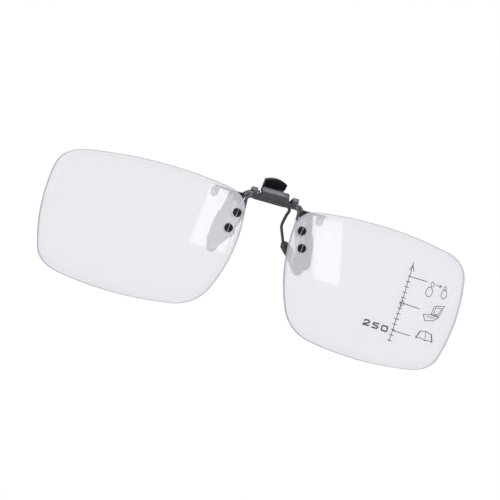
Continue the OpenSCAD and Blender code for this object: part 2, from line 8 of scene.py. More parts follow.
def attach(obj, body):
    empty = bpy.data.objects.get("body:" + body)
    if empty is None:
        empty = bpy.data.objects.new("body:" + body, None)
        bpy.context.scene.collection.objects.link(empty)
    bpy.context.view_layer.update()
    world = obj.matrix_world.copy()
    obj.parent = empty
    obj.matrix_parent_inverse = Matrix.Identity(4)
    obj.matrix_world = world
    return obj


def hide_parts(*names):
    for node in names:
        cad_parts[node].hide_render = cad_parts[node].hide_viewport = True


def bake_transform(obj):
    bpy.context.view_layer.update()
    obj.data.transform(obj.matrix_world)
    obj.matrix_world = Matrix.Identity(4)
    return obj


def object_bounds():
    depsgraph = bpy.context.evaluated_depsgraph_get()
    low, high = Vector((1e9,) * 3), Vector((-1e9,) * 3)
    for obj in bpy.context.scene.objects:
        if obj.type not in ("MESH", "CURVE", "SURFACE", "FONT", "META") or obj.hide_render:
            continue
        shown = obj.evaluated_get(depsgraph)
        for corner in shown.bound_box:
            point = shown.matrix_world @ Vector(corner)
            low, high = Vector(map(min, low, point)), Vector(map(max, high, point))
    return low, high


bl_info = {
    "name": "Clip-on reading lenses",
    "version": (1, 0, 0),
    "blender": (4, 5, 0),
    "location": "View3D > Sidebar > Lenses",
    "description": "Dresses a packed clip-on lens frame with finished metal, resin and soft parts",
    "category": "Object",
}

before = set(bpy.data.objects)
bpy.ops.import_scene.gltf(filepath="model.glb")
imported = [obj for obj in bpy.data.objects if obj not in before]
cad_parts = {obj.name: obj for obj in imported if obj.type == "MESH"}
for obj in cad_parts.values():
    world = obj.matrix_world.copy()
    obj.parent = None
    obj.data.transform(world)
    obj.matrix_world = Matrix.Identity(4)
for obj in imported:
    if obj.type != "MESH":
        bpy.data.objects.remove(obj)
CAD_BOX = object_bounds()
MM = 0.001
# Millimetres here are measured from the hinge pin, as in the part's source
PIN = Vector((0, -1, 15))
SIDES = (("left", -1), ("right", 1))
BASE, FLIP, LEVER = "clip_base", "flip_frame", "lever"

# The right lens: the depth of its front at the pole, its outline's corners, the height of each
# side's bow and what each side gives up to the corners at its two ends
FRONT_Y = -3.1
POLE = (11, -8)
CORNERS = [(8.8, -1.55), (65.8, -2.55), (63.8, -37.75), (15.7, -37.75)]
BOWS = (2.9, 3, 2.7, 3.6)
CUTS = ((5.8, 6.6), (5.2, 4.5), (6.5, 6.6), (6.2, 5.1))

# The fixings: the upper screw, the way to the lower one along the leaning plate, the hole, the
# plate's two faces and the washers
SCREW_TOP = (10.55, -7.5)
SCREW_PITCH = 5.3
PLATE_LEAN = math.radians(15)
HOLE_R, HOLE_REACH, HOLE_MIDDLE = 1.06, 3, FRONT_Y + 0.7
PLATE_FRONT, PLATE_BACK = -1.25, -0.75
WASHER_R, WASHER_BORE, WASHER_T = 1.55, 0.72, 0.2

# The camera found from the photo: its right and up directions and its roll, the width in metres
# that the photo shows, and the photo's centre in millimetres right and up from the pin
VIEW_RIGHT = Vector((0.964116, -0.265369, 0.000000))
VIEW_UP = Vector((-0.015088, -0.054828, 0.998378))
VIEW_ROLL = math.radians(14.9)
PHOTO_WIDTH = 0.1515
LENS_MM, SENSOR_MM = 267, 36
CENTRE_RIGHT, CENTRE_UP = -2.639, -17.07


def at(x, y, z):
    """A point given in millimetres from the pin, in the frame's metres."""
    return (Vector((x, y, z)) + PIN) * MM


# ---------------------------------------------------------------- settings


def size(name, text, value, low, high):
    return bpy.props.FloatProperty(name=name, description=text, default=value, min=low, max=high)


def tint(name, text, value):
    return bpy.props.FloatVectorProperty(
        name=name, description=text, default=value, size=3, min=0, max=1, subtype="COLOR"
    )


class LensSettings(bpy.types.PropertyGroup):
    curve: size("Front radius", "Radius of the front face in mm", 254, 180, 300)
    thickness: size("Thickness", "Thickness of a lens in mm", 1.5, 1.2, 2)
    edge: size("Edge bevel", "Width of the bevel round the rim in mm", 0.14, 0.05, 0.3)
    film: size("Film", "Opacity of one face of the coated resin", 0.435, 0.1, 0.9)
    colour: tint("Film colour", "Colour of the coated resin", (0.79, 0.78, 0.83))
    rim: tint("Rim colour", "Colour of the ground rim", (0.42, 0.39, 0.50))


class PrintSettings(bpy.types.PropertyGroup):
    ink: tint("Ink", "Colour of the printed marks", (0.09, 0.075, 0.08))
    line: size("Line", "Width of the thin lines in mm", 0.22, 0.1, 0.5)
    stroke: size("Stroke", "Width of the number's strokes in mm", 0.46, 0.2, 0.6)
    ticks: bpy.props.IntProperty(
        name="Ticks", description="Number of ticks on the scale", default=13, min=5, max=20
    )
    pitch: size("Pitch", "Distance between ticks in mm", 1.71, 1, 3)


class MetalSettings(bpy.types.PropertyGroup):
    gunmetal: tint("Gunmetal", "Colour of the dark plating", (0.078, 0.076, 0.085))
    steel: tint("Steel", "Colour of the bright steel", (0.56, 0.56, 0.58))
    softness: size("Edge", "Width of the rounded edges of the sheet in mm", 0.11, 0.02, 0.15)


class SoftSettings(bpy.types.PropertyGroup):
    sleeve: tint("Sleeve", "Colour of the soft sleeves", (0.14, 0.134, 0.14))
    tip: tint("Tip", "Colour of the soft hook tips", (0.08, 0.076, 0.082))
    cap: tint("Cap", "Colour of the thumb cap", (0.010, 0.010, 0.012))


class StudioSettings(bpy.types.PropertyGroup):
    gap: size("Floor gap", "Gap between the lenses and the floor in mm", 1, 0.2, 20)
    ambient: size("Ambient", "Strength of the light from all sides", 0.72, 0, 1)
    windows: size("Windows", "Brightness of the cards seen in the lenses", 6, 0, 20)


# ---------------------------------------------------------------- shaders


def blank_material(name):
    """A new material with its nodes and the function that links them."""
    m = bpy.data.materials.new(name)
    m.use_nodes = True
    return m, m.node_tree.nodes, m.node_tree.links.new


def group(name, inputs, outputs):
    """A shader node group with named sockets."""
    g = bpy.data.node_groups.new(name, "ShaderNodeTree")
    for label, kind, value in inputs:
        s = g.interface.new_socket(name=label, in_out="INPUT", socket_type=kind)
        s.default_value = value
    for label, kind in outputs:
        g.interface.new_socket(name=label, in_out="OUTPUT", socket_type=kind)
    return g, g.nodes.new("NodeGroupInput"), g.nodes.new("NodeGroupOutput")


FLOAT = "NodeSocketFloat"
# The part of the noise's range that is used, and the broad patches per metre
NOISE_LOW, NOISE_HIGH = 0.3, 0.7
PATCHES = 420


def grain_group():
    """Fine grain on the object's own coordinates: a shade factor, a roughness and a height."""
    g, i, o = group(
        "fine_grain",
        [("Grains per metre", FLOAT, 5000), ("Stretch", FLOAT, 1), ("Shade low", FLOAT, 0.85),
         ("Shade high", FLOAT, 1.1), ("Rough low", FLOAT, 0.25), ("Rough high", FLOAT, 0.4)],
        [("Shade", FLOAT), ("Roughness", FLOAT), ("Height", FLOAT)],
    )
    n, link = g.nodes, g.links.new
    where = n.new("ShaderNodeTexCoord")
    stretch = n.new("ShaderNodeCombineXYZ")
    stretch.inputs[1].default_value = stretch.inputs[2].default_value = 1
    link(i.outputs["Stretch"], stretch.inputs[0])
    scaled = n.new("ShaderNodeVectorMath")
    scaled.operation = "MULTIPLY"
    link(where.outputs["Object"], scaled.inputs[0])
    link(stretch.outputs[0], scaled.inputs[1])
    fine = n.new("ShaderNodeTexNoise")
    fine.inputs["Detail"].default_value = 3
    link(scaled.outputs[0], fine.inputs["Vector"])
    link(i.outputs["Grains per metre"], fine.inputs["Scale"])
    broad = n.new("ShaderNodeTexNoise")
    broad.inputs["Scale"].default_value = PATCHES
    broad.inputs["Detail"].default_value = 2
    link(where.outputs["Object"], broad.inputs["Vector"])
    for source, low, high, out in (
        (broad, "Shade low", "Shade high", "Shade"),
        (fine, "Rough low", "Rough high", "Roughness"),
    ):
        m = n.new("ShaderNodeMapRange")
        m.inputs["From Min"].default_value = NOISE_LOW
        m.inputs["From Max"].default_value = NOISE_HIGH
        link(source.outputs[0], m.inputs["Value"])
        link(i.outputs[low], m.inputs["To Min"])
        link(i.outputs[high], m.inputs["To Max"])
        link(m.outputs[0], o.inputs[out])
    link(fine.outputs[0], o.inputs["Height"])
    return g


# Height of the grain in metres
GRAIN_HEIGHT = 0.00001


def shaded(name, colour, grain, sockets, bump):
    """A material whose colour, roughness and bump follow the fine grain."""
    m, n, link = blank_material(name)
    p = n["Principled BSDF"]
    for label, value in sockets.items():
        p.inputs[label].default_value = value
    g = n.new("ShaderNodeGroup")
    g.node_tree = bpy.data.node_groups.get("fine_grain") or grain_group()
    for label, value in grain.items():
        g.inputs[label].default_value = value
    tone = n.new("ShaderNodeVectorMath")
    tone.operation = "SCALE"
    tone.inputs[0].default_value = colour
    link(g.outputs["Shade"], tone.inputs["Scale"])
    link(tone.outputs[0], p.inputs["Base Color"])
    link(g.outputs["Roughness"], p.inputs["Roughness"])
    if bump:
        b = n.new("ShaderNodeBump")
        b.inputs["Strength"].default_value = bump
        b.inputs["Distance"].default_value = GRAIN_HEIGHT
        link(g.outputs["Height"], b.inputs["Height"])
        link(b.outputs[0], p.inputs["Normal"])
    return m


PLATED = {"Metallic": 1, "Specular Tint": (0.32, 0.312, 0.335, 1)}
# Sockets of the mount plates' metal, whose colour below is painted lighter
PAINTED_LIGHT_METAL = {"Metallic": 1, "Specular Tint": (0.7, 0.7, 0.72, 1)}
# Sockets of the lens arms' metal, whose colour below is painted lighter for a sheen
PAINTED_SHEEN_METAL = {"Metallic": 1, "Specular Tint": (0.45, 0.44, 0.46, 1)}
RUBBER = {"Alpha": 0.97, "Subsurface Weight": 0.2, "Subsurface Scale": 0.0004}


def rough(low, high):
    """Smooth, fine grain between two roughnesses."""
    return {"Grains per metre": 5200, "Shade low": 0.88, "Shade high": 1.12,
            "Rough low": low, "Rough high": high}


def finishes():
    """Each finish's colour, grain, shader sockets and bump, apart from the lens's film."""
    s = bpy.context.scene
    metal, soft = s.lens_metal, s.lens_soft

    def dark(times):
        return [c * times for c in metal.gunmetal]

    return {
        "gunmetal_plate": (dark(1), rough(0.24, 0.36), PLATED, 0.04),
        "gunmetal_wire": (dark(1), rough(0.18, 0.28), PLATED, 0.03),
        # The mount plates: the frame's gunmetal painted 8.5 times lighter, a painted reflection of
        # the bright surroundings
        "gunmetal_painted_light": (dark(8.5), rough(0.4, 0.55), PAINTED_LIGHT_METAL, 0.03),
        # The lens arms: the same gunmetal painted 1.7 times lighter, a painted sheen along the
        # wires
        "gunmetal_painted_sheen": (dark(1.7), rough(0.14, 0.24), PAINTED_SHEEN_METAL, 0.03),
        "screw_black": (dark(0.4), rough(0.12, 0.2), PLATED, 0.03),
        "drawn_steel": (metal.steel, {**rough(0.16, 0.3), "Stretch": 0.15}, {"Metallic": 1}, 0.12),
        "thumb_cap_black": (soft.cap, {**rough(0.34, 0.46), "Grains per metre": 7000},
                            {"Specular IOR Level": 0.15}, 0.2),
        "soft_sleeve_clear": (soft.sleeve, rough(0.42, 0.55), RUBBER, 0.1),
        "soft_tip_clear": (soft.tip, rough(0.42, 0.55), RUBBER, 0.1),
        "clear_washer": ((0.86, 0.85, 0.88), rough(0.2, 0.3), {"Alpha": 0.75}, 0),
        "print_ink": (s.lens_print.ink, rough(0.5, 0.65), {"Alpha": 0.92}, 0),
        "lens_rim": (s.lens_form.rim, rough(0.3, 0.42),
                     {"Alpha": 0.85, "Specular IOR Level": 0.4}, 0),
    }


def material(name):
    """The material of that finish, made at its first use."""
    if name in bpy.data.materials:
        return bpy.data.materials[name]
    if name == "lens_film":
        return lens_film(bpy.context.scene.lens_form)
    return shaded(name, *finishes()[name])


# The film's two heights in metres, and how much lighter it is at the lower one
LENS_TOP, LENS_FOOT, FOOT_LIGHT = 0.014, -0.024, 1.04


def lens_film(lens):
    """Coated resin: clear, a little milky, and slightly lighter towards its lower edge."""
    m = shaded("lens_film", lens.colour,
               {"Grains per metre": 900, "Shade low": 0.995, "Shade high": 1.005,
                "Rough low": 0.02, "Rough high": 0.035},
               {"Alpha": lens.film, "IOR": 1.5}, 0)
    n, link = m.node_tree.nodes, m.node_tree.links.new
    p = n["Principled BSDF"]
    where = n.new("ShaderNodeTexCoord")
    split = n.new("ShaderNodeSeparateXYZ")
    link(where.outputs["Object"], split.inputs[0])
    fall = n.new("ShaderNodeMapRange")
    fall.inputs["From Min"].default_value = LENS_TOP
    fall.inputs["From Max"].default_value = LENS_FOOT
    link(split.outputs[2], fall.inputs["Value"])
    fade = n.new("ShaderNodeMix")
    fade.data_type = "RGBA"
    fade.inputs[6].default_value = (*lens.colour, 1)
    fade.inputs[7].default_value = (*[c * FOOT_LIGHT for c in lens.colour], 1)
    link(fall.outputs[0], fade.inputs[0])
    link(fade.outputs[2], p.inputs["Base Color"])
    return m


# ---------------------------------------------------------------- mesh helpers


def linked(name, data):
    """A new object of that data in the scene."""
    o = bpy.data.objects.new(name, data)
    bpy.context.scene.collection.objects.link(o)
    return o


def finished(name, mesh, body, nodes, mats, angle=38, painted=False):
    """Links a finished mesh, rides it on its body and lets it stand for its CAD nodes.

    A painted mesh keeps its faces' own material numbers. A piece without a body rides on none.
    """
    mesh.name = name
    o = linked(name, mesh)
    shades = [f.material_index if painted else 0 for f in mesh.polygons]
    mesh.materials.clear()
    for m in mats:
        mesh.materials.append(material(m))
    mesh.polygons.foreach_set("material_index", shades)
    mesh.shade_smooth()
    mesh.set_sharp_from_angle(angle=math.radians(angle))
    if body:
        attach(o, body)
    if nodes:
        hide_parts(*nodes)
    return o


def from_bmesh(bm):
    """The bmesh as a new mesh."""
    mesh = bpy.data.meshes.new("new")
    bm.to_mesh(mesh)
    bm.free()
    return mesh


def baked(o):
    """The plain mesh of an object with its modifiers, which is then removed."""
    dg = bpy.context.evaluated_depsgraph_get()
    dg.update()
    mesh = bpy.data.meshes.new_from_object(o.evaluated_get(dg))
    bpy.data.objects.remove(o)
    return mesh


def temporary(mesh):
    """An object that holds a mesh for a short while."""
    return linked("temporary", mesh)


MERGE_M = 2e-6
FLAT = math.radians(1)


def softened(node, width, segments=2, angle=30):
    """A copy of a CAD node's mesh, merged, with its sharp edges rounded. Width in millimetres."""
    bm = bmesh.new()
    bm.from_mesh(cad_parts[node].data)
    bmesh.ops.remove_doubles(bm, verts=bm.verts, dist=MERGE_M)
    bmesh.ops.dissolve_limit(bm, angle_limit=FLAT, verts=bm.verts, edges=bm.edges)
    o = temporary(from_bmesh(bm))
    b = o.modifiers.new("round", "BEVEL")
    b.limit_method = "ANGLE"
    b.angle_limit = math.radians(angle)
    b.width = width * MM
    b.segments = segments
    b.use_clamp_overlap = True
    return baked(o)


def smooth_path(points, steps):
    """The smooth curve of the part's source through its control points."""
    last = len(points) - 1
    p = [Vector(q) for q in points]
    out = []
    for i in range(last):
        a, b, c, d = p[max(i - 1, 0)], p[i], p[i + 1], p[min(i + 2, last)]
        for k in range(steps):
            t = k / steps
            out.append(0.5 * (2 * b + (c - a) * t + (2 * a - 5 * b + 4 * c - d) * t**2
                              + (3 * b - a - 3 * c + d) * t**3))
    return out + [p[last]]


# ---------------------------------------------------------------- geometry nodes


def node_tree(name, inputs):
    """A geometry node tree with named inputs."""
    t = bpy.data.node_groups.new(name, "GeometryNodeTree")
    t.interface.new_socket(name="Geometry", in_out="INPUT", socket_type="NodeSocketGeometry")
    for label, kind, value in inputs:
        s = t.interface.new_socket(name=label, in_out="INPUT", socket_type=kind)
        if value is not None:
            s.default_value = value
    t.interface.new_socket(name="Geometry", in_out="OUTPUT", socket_type="NodeSocketGeometry")
    return t, t.nodes.new("NodeGroupInput"), t.nodes.new("NodeGroupOutput")


def finish_tree(t, i, o, last):
    """Ends a tree with Realize Instances and Set Material."""
    real = t.nodes.new("GeometryNodeRealizeInstances")
    paint = t.nodes.new("GeometryNodeSetMaterial")
    t.links.new(last, real.inputs[0])
    t.links.new(real.outputs[0], paint.inputs["Geometry"])
    t.links.new(i.outputs["Material"], paint.inputs["Material"])
    t.links.new(paint.outputs[0], o.inputs[0])


def wire_tree():
    """A round wire along the input's edges, with the radius kept in an attribute."""
    t, i, o = node_tree("round_wire", [("Sides", "NodeSocketInt", 16),
                                       ("Material", "NodeSocketMaterial", None)])
    n, link = t.nodes, t.links.new
    curve = n.new("GeometryNodeMeshToCurve")
    link(i.outputs["Geometry"], curve.inputs["Mesh"])
    thick = n.new("GeometryNodeInputNamedAttribute")
    thick.data_type = "FLOAT"
    thick.inputs["Name"].default_value = "wire_radius"
    ring = n.new("GeometryNodeCurvePrimitiveCircle")
    ring.inputs["Radius"].default_value = 1
    link(i.outputs["Sides"], ring.inputs["Resolution"])
    skin = n.new("GeometryNodeCurveToMesh")
    skin.inputs["Fill Caps"].default_value = True
    link(curve.outputs[0], skin.inputs["Curve"])
    link(ring.outputs["Curve"], skin.inputs["Profile Curve"])
    link(thick.outputs["Attribute"], skin.inputs["Scale"])
    finish_tree(t, i, o, skin.outputs[0])
    return t


def stamp_tree():
    """Copies of a pattern object on the input's points, each with its own turn."""
    t, i, o = node_tree("stamped_copies", [("Pattern", "NodeSocketObject", None),
                                           ("Material", "NodeSocketMaterial", None)])
    n, link = t.nodes, t.links.new
    info = n.new("GeometryNodeObjectInfo")
    link(i.outputs["Pattern"], info.inputs["Object"])
    turn = n.new("GeometryNodeInputNamedAttribute")
    turn.data_type = "FLOAT_VECTOR"
    turn.inputs["Name"].default_value = "turn"
    stamp = n.new("GeometryNodeInstanceOnPoints")
    link(i.outputs["Geometry"], stamp.inputs["Points"])
    link(info.outputs["Geometry"], stamp.inputs["Instance"])
    link(turn.outputs["Attribute"], stamp.inputs["Rotation"])
    finish_tree(t, i, o, stamp.outputs[0])
    return t


def through_tree(mesh, tree, values):
    """The plain mesh that a tree makes from a mesh."""
    o = temporary(mesh)
    m = o.modifiers.new("nodes", "NODES")
    m.node_group = tree
    for item in tree.interface.items_tree:
        if item.in_out == "INPUT" and item.name in values:
            m[item.identifier] = values[item.name]
    o.update_tag()
    bpy.context.view_layer.update()
    return baked(o)


def wire_mesh(points, r, tip_r, mat, steps=8, sides=20):
    """A wire through points in millimetres from the pin, tapering from one radius to another.

    With one step it runs straight from point to point.
    """
    path = smooth_path(points, steps) if steps > 1 else [Vector(p) for p in points]
    last = len(path) - 1
    mesh = bpy.data.meshes.new("path")
    mesh.from_pydata([at(*p) for p in path], [(k, k + 1) for k in range(last)], [])
    radius = mesh.attributes.new("wire_radius", "FLOAT", "POINT")
    for k in range(last + 1):
        radius.data[k].value = (r + (tip_r - r) * (k / last) ** 2) * MM
    tree = bpy.data.node_groups.get("round_wire") or wire_tree()
    return through_tree(mesh, tree, {"Sides": sides, "Material": material(mat)})


def stamped(pattern, places, mat):
    """Copies of a pattern mesh at (place in metres, turn), made a plain mesh."""
    mesh = bpy.data.meshes.new("places")
    mesh.from_pydata([p for p, _ in places], [], [])
    turn = mesh.attributes.new("turn", "FLOAT_VECTOR", "POINT")
    for k, (_, t) in enumerate(places):
        turn.data[k].vector = t
    o = temporary(pattern)
    tree = bpy.data.node_groups.get("stamped_copies") or stamp_tree()
    made = through_tree(mesh, tree, {"Pattern": o, "Material": material(mat)})
    bpy.data.objects.remove(o)
    return made


TINY = 1e-6


def lathe(profile, sides=48):
    """A closed turned piece about -Y: profile points are (radius, depth) in millimetres."""
    bm = bmesh.new()
    rings = []
    for r, y in profile:
        if r < TINY:
            rings.append([bm.verts.new((0, y * MM, 0))] * sides)
            continue
        rings.append([
            bm.verts.new((r * MM * math.cos(2 * math.pi * k / sides), y * MM,
                          r * MM * math.sin(2 * math.pi * k / sides)))
            for k in range(sides)
        ])
    closed = profile[0][0] > TINY
    pairs = list(zip(rings, rings[1:] + rings[:1])) if closed else list(zip(rings, rings[1:]))
    for a, b in pairs:
        for k in range(sides):
            corners = []
            for v in (a[k], a[(k + 1) % sides], b[(k + 1) % sides], b[k]):
                if v not in corners:
                    corners.append(v)
            bm.faces.new(corners)
    bmesh.ops.recalc_face_normals(bm, faces=bm.faces)
    return from_bmesh(bm)


def cut(mesh, cutters):
    """The mesh with the cutters' solids taken out."""
    o = temporary(mesh)
    tools = [temporary(c) for c in cutters]
    for c in tools:
        m = o.modifiers.new("cut", "BOOLEAN")
        m.operation = "DIFFERENCE"
        m.solver = "EXACT"
        m.object = c
    made = baked(o)
    for c in tools:
        bpy.data.objects.remove(c)
    return made


def mirrored(mesh, side):
    """A right-hand mesh for 1, and its mirror image with outward faces for -1."""
    if side < 0:
        mesh.transform(Matrix.Scale(-1, 4, (1, 0, 0)))
        mesh.flip_normals()
    return mesh


def right_screws():
    """The axes of the right lens's screws as (x, z) in millimetres from the pin."""
    return [(SCREW_TOP[0] + k * SCREW_PITCH * math.sin(PLATE_LEAN),
             SCREW_TOP[1] - k * SCREW_PITCH * math.cos(PLATE_LEAN)) for k in (0, 1)]


def screw_places():
    """All four screws' axes, those of the left lens first."""
    return [(side * x, z) for _, side in SIDES for x, z in right_screws()]


# ---------------------------------------------------------------- lenses


def bezier(a, b, c, t):
    """A point of the curve from a to c that leans to b."""
    return a * (1 - t) ** 2 + b * 2 * t * (1 - t) + c * t**2


def lens_outline(side_steps=26, corner_steps=14):
    """The outline of the right lens: four bowed sides with a curved corner after each."""
    corners = [Vector(c) for c in CORNERS]

    def side_point(i, t):
        a, b = corners[i], corners[(i + 1) % 4]
        d = (b - a).normalized()
        return bezier(a, (a + b) / 2 + 2 * BOWS[i] * Vector((-d.y, d.x)), b, t)

    out = []
    for i in range(4):
        n = (i + 1) % 4
        long_i = (corners[n] - corners[i]).length
        long_n = (corners[(n + 1) % 4] - corners[n]).length
        start, end = CUTS[i][0] / long_i, 1 - CUTS[i][1] / long_i
        after = CUTS[n][0] / long_n
        out += [side_point(i, start + (end - start) * k / side_steps)
                for k in range(side_steps + 1)]
        out += [bezier(side_point(i, end), corners[n], side_point(n, after), k / corner_steps)
                for k in range(1, corner_steps)]
    return out


def face_y(x, z, radius, curve):
    """Depth of the sphere of that radius round the lens's centre of curvature."""
    return FRONT_Y + curve - math.sqrt(radius**2 - (x - POLE[0]) ** 2 - (z - POLE[1]) ** 2)


FACE_RINGS = 12
RIM_BANDS = 5


def lens_mesh(form):
    """The right lens, with rings of faces from its middle to its bevelled rim and back."""
    outline = lens_outline()
    count = len(outline)
    middle = sum(outline, Vector((0, 0))) / count
    front, back = form.curve, form.curve - form.thickness
    # The bevel's width, and that of the small step at its two corners
    edge, corner = form.edge, form.edge * 0.3
    # Share of the way to the rim at each ring of a face
    shares = [k / FACE_RINGS for k in range(1, FACE_RINGS)]
    bm = bmesh.new()

    def ring(points, radius, dy=0.0):
        return [bm.verts.new(at(p.x, face_y(p.x, p.y, radius, form.curve) + dy, p.y))
                for p in points]

    def inset(by):
        out = []
        for k in range(count):
            d = (outline[(k + 1) % count] - outline[k - 1]).normalized()
            out.append(outline[k] - by * Vector((-d.y, d.x)))
        return out

    hub_front = bm.verts.new(at(middle.x, face_y(*middle, front, form.curve), middle.y))
    hub_back = bm.verts.new(at(middle.x, face_y(*middle, back, form.curve), middle.y))
    inner = inset(edge)
    rings = [ring([middle + (p - middle) * s for p in inner], front) for s in shares]
    rings.append(ring(inner, front))
    rings.append(ring(inset(corner), front, corner))
    rings.append(ring(outline, front, edge))
    rings.append(ring(outline, back, -edge))
    rings.append(ring(inset(corner), back, -corner))
    rings.append(ring(inner, back))
    rings += [ring([middle + (p - middle) * s for p in inner], back) for s in reversed(shares)]
    rim_first = len(shares)
    for r, (a, b) in enumerate(zip(rings, rings[1:])):
        for k in range(count):
            f = bm.faces.new((a[k], a[(k + 1) % count], b[(k + 1) % count], b[k]))
            f.material_index = 1 if rim_first <= r < rim_first + RIM_BANDS else 0
    for k in range(count):
        bm.faces.new((hub_front, rings[0][(k + 1) % count], rings[0][k]))
        bm.faces.new((hub_back, rings[-1][k], rings[-1][(k + 1) % count]))
    bmesh.ops.recalc_face_normals(bm, faces=bm.faces)
    mesh = from_bmesh(bm)
    mesh.materials.append(material("lens_film"))
    mesh.materials.append(material("lens_rim"))
    return mesh


class LENSES_OT_lenses(bpy.types.Operator):
    """Makes the two coated lenses with their ground rims and screw holes"""

    bl_idname = "clip_lenses.lenses"
    bl_label = "Lenses"

    def execute(self, context):
        form = context.scene.lens_form
        for name, side in SIDES:
            holes = []
            for x, z in right_screws():
                hole = lathe([(0, -HOLE_REACH), (HOLE_R, -HOLE_REACH), (HOLE_R, HOLE_REACH),
                              (0, HOLE_REACH)], 40)
                hole.transform(Matrix.Translation(at(x, HOLE_MIDDLE, z)))
                holes.append(hole)
            mesh = mirrored(cut(lens_mesh(form), holes), side)
            finished(f"lens_clear_{name}", mesh, FLIP, [f"lens_{name}"],
                     ["lens_film", "lens_rim"], angle=50, painted=True)
        return {"FINISHED"}


# ---------------------------------------------------------------- print


# The printed scale on the right lens: its line runs from the first point to the last
SCALE_TOP = Vector((48.48, -7.11))
SCALE_END = Vector((47.54, -32.43))
FIRST_TICK = Vector((48.41, -11.59))
TICK_HALF, TICK_DEPTH = 0.82, 0.05
LEADERS = (((48.45, -11.59), (54.56, -11.68)), ((49.15, -20.11), (54.37, -20.3)),
           ((47.72, -28.94), (53.83, -29.05)))
DIGITS = {
    "2": [(0.1, 1.6), (0.5, 2), (1.6, 2), (2, 1.6), (1.9, 1.2), (0, 0.2), (0, 0), (2, 0)],
    "5": [(2, 2), (0.5, 2), (0.1, 1.6), (0.3, 1.2), (1.7, 0.95), (2, 0.6), (1.7, 0), (0, 0)],
    "0": [(0.3, 0), (0, 0.3), (0, 1.7), (0.3, 2), (1.7, 2), (2, 1.7), (2, 0.3), (1.7, 0),
          (0.3, 0)],
}
DIGIT_SIZE = (0.95, 0.76)
NUMBER = (("2", (37.62, -29.53)), ("5", (40.7, -29.7)), ("0", (43.91, -29.82)))
ARROW = ((47.7, -9.73), SCALE_TOP + Vector((0, -0.9)), (49.23, -9.73))
DIAMOND = [Vector((48.21, -20.21)) + Vector(d) for d in
           ((0, 0.9), (0.75, 0), (0, -0.9), (-0.75, 0), (0, 0.9))]
# The signs' lines as shares of the thin line and of the number's stroke
THIN, HEAVY = 0.9, 0.8
# A sharp bend's mitre stops at twice the line's width
LEAST_MITRE = 0.5


def ribbon(bm, points, width, curve, lift=0.025, sink=0.01, overhang=0.4):
    """A thin line on the front face of the right lens, raised and sunk a little, in mm.

    An open line runs past its ends by a share of its width.
    """
    p = [Vector(q) for q in points]
    closed = (p[0] - p[-1]).length < TINY
    count = len(p)
    left, right = [], []
    for k in range(count):
        before = p[k] - p[k - 1] if k else (p[0] - p[-2] if closed else p[1] - p[0])
        after = p[k + 1] - p[k] if k < count - 1 else (p[1] - p[0] if closed else before)
        d = (before.normalized() + after.normalized()).normalized()
        reach = width / 2 / max(LEAST_MITRE, d.dot(before.normalized()))
        end = Vector((0, 0))
        if not closed and k in (0, count - 1):
            end = d * width * (-overhang if k == 0 else overhang)
        across = Vector((-d.y, d.x)) * reach
        left.append(p[k] + across + end)
        right.append(p[k] - across + end)

    def verts(q, dy):
        return bm.verts.new(at(q.x, face_y(q.x, q.y, curve, curve) + dy, q.y))

    rows = [[verts(a, -lift), verts(b, -lift), verts(b, sink), verts(a, sink)]
            for a, b in zip(left, right)]
    if closed:
        rows = rows[:-1] + [rows[0]]
    for a, b in zip(rows, rows[1:]):
        for k in range(4):
            bm.faces.new((a[k], a[(k + 1) % 4], b[(k + 1) % 4], b[k]))
    if not closed:
        bm.faces.new(rows[0])
        bm.faces.new(rows[-1])


def finer(points, step=0.8):
    """The same line with more points, so that it follows the curved face."""
    out = [Vector(points[0])]
    for a, b in zip(points, points[1:]):
        a, b = Vector(a), Vector(b)
        n = max(1, round((b - a).length / step))
        out += [a + (b - a) * k / n for k in range(1, n + 1)]
    return out


def oval(cx, cy, rx, ry, steps=18):
    """A closed oval of straight steps."""
    turns = [2 * math.pi * k / steps for k in range(steps)]
    out = [(cx + rx * math.cos(a), cy + ry * math.sin(a)) for a in turns]
    return out + out[:1]


def pictograms():
    """Plain signs for far, middle and near: two figures and an arrow, a screen, an open book."""
    far = [oval(56.1, -14.5, 1.15, 1.5), oval(61.3, -14.0, 0.95, 1.35),
           oval(56.6, -12.0, 0.5, 0.8), oval(61.1, -12.1, 0.42, 0.65),
           [(57.8, -11.9), (59.8, -11.9)],
           [(59.2, -11.6), (59.8, -11.9), (59.1, -12.3)]]
    screen = [[(58.8, -20.9), (59.2, -18.3), (62.6, -17.4), (61.6, -21.0),
               (58.8, -20.9)],
              [(59.5, -20.4), (59.8, -18.6), (61.9, -18.3), (61.0, -20.7),
               (59.5, -20.4)],
              [(56.2, -21.6), (58.7, -21.1), (61.6, -21.3), (60.1, -22.6),
               (57.3, -23.4), (56.2, -21.6)],
              [(57.7, -21.9), (60.4, -21.8)]]
    book = [[(56.8, -26.8), (58.7, -26.4), (60.8, -26.9)],
            [(55.9, -29.0), (57.8, -28.8), (59.2, -29.2), (60.5, -28.9), (61.7, -29.1)],
            [(58.7, -26.4), (59.2, -29.2)]]
    sides = [[(55.9, -29.0), (56.8, -26.8)], [(60.8, -26.9), (61.7, -29.1)]]
    return far + screen + book, sides


